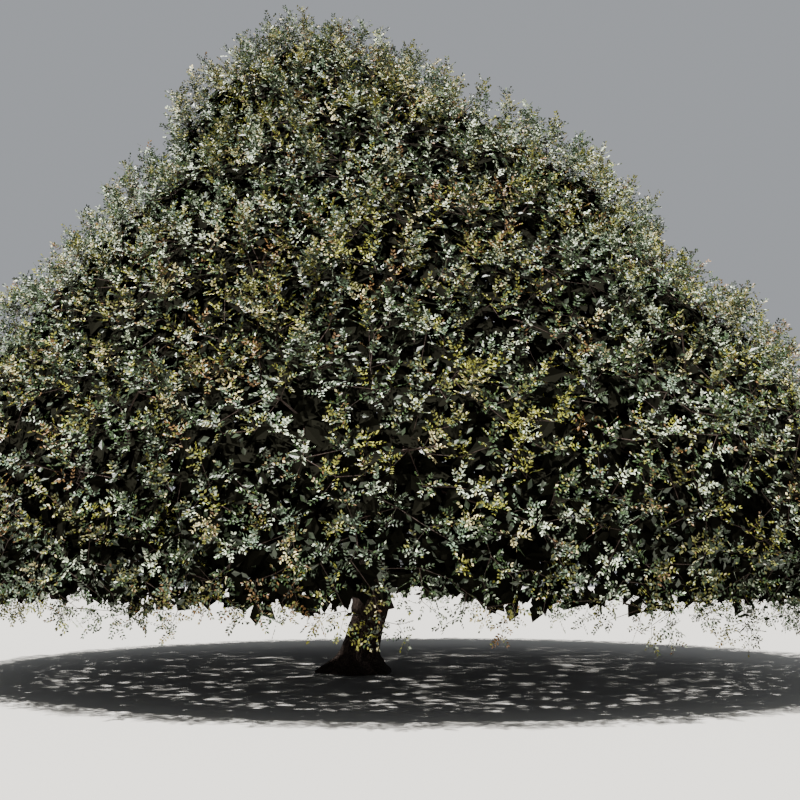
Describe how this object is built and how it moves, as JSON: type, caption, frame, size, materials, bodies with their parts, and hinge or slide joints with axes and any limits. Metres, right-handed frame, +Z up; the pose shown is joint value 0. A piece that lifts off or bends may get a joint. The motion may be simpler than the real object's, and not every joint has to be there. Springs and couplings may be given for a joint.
{
  "type": "carob tree",
  "caption": "Broad evergreen carob tree in full leaf: a short leaning trunk with a root flare, spreading boughs and a dense dome of leathery foliage down to head height.",
  "frame": {"origin": "middle of the flat cut under the trunk, at ground level", "axes": "+Z up; the crown's broad side is seen along +Y, with +X to the right"},
  "size_m": [14.142, 13.2031, 10.2393],
  "materials": {
    "bark": "rough furrowed dark reddish brown bark",
    "foliage": "leathery half-gloss dark olive green leaves with paler undersides"
  },
  "bodies": {
    "root": {"middle_bough_1": "bark", "middle_bough_2": "bark", "middle_bough_3": "bark", "middle_bough_4": "bark", "middle_bough_5": "bark", "middle_bough_6": "bark", "middle_bough_7": "bark", "middle_bough_8": "bark", "middle_foliage_1": "foliage", "middle_foliage_2": "foliage", "middle_foliage_3": "foliage", "middle_foliage_4": "foliage", "middle_foliage_5": "foliage", "middle_foliage_6": "foliage", "middle_foliage_7": "foliage", "middle_foliage_8": "foliage", "skirt_bough_1": "bark", "skirt_bough_2": "bark", "skirt_bough_3": "bark", "skirt_bough_4": "bark", "skirt_bough_5": "bark", "skirt_bough_6": "bark", "skirt_bough_7": "bark", "skirt_bough_8": "bark", "skirt_bough_9": "bark", "skirt_foliage_1": "foliage", "skirt_foliage_2": "foliage", "skirt_foliage_3": "foliage", "skirt_foliage_4": "foliage", "skirt_foliage_5": "foliage", "skirt_foliage_6": "foliage", "skirt_foliage_7": "foliage", "skirt_foliage_8": "foliage", "skirt_foliage_9": "foliage", "top_bough_1": "bark", "top_bough_2": "bark", "top_bough_3": "bark", "top_bough_4": "bark", "top_foliage_1": "foliage", "top_foliage_2": "foliage", "top_foliage_3": "foliage", "top_foliage_4": "foliage", "trunk": "bark", "upper_bough_1": "bark", "upper_bough_2": "bark", "upper_bough_3": "bark", "upper_bough_4": "bark", "upper_bough_5": "bark", "upper_bough_6": "bark", "upper_foliage_1": "foliage", "upper_foliage_2": "foliage", "upper_foliage_3": "foliage", "upper_foliage_4": "foliage", "upper_foliage_5": "foliage", "upper_foliage_6": "foliage"}
  },
  "joints": []
}
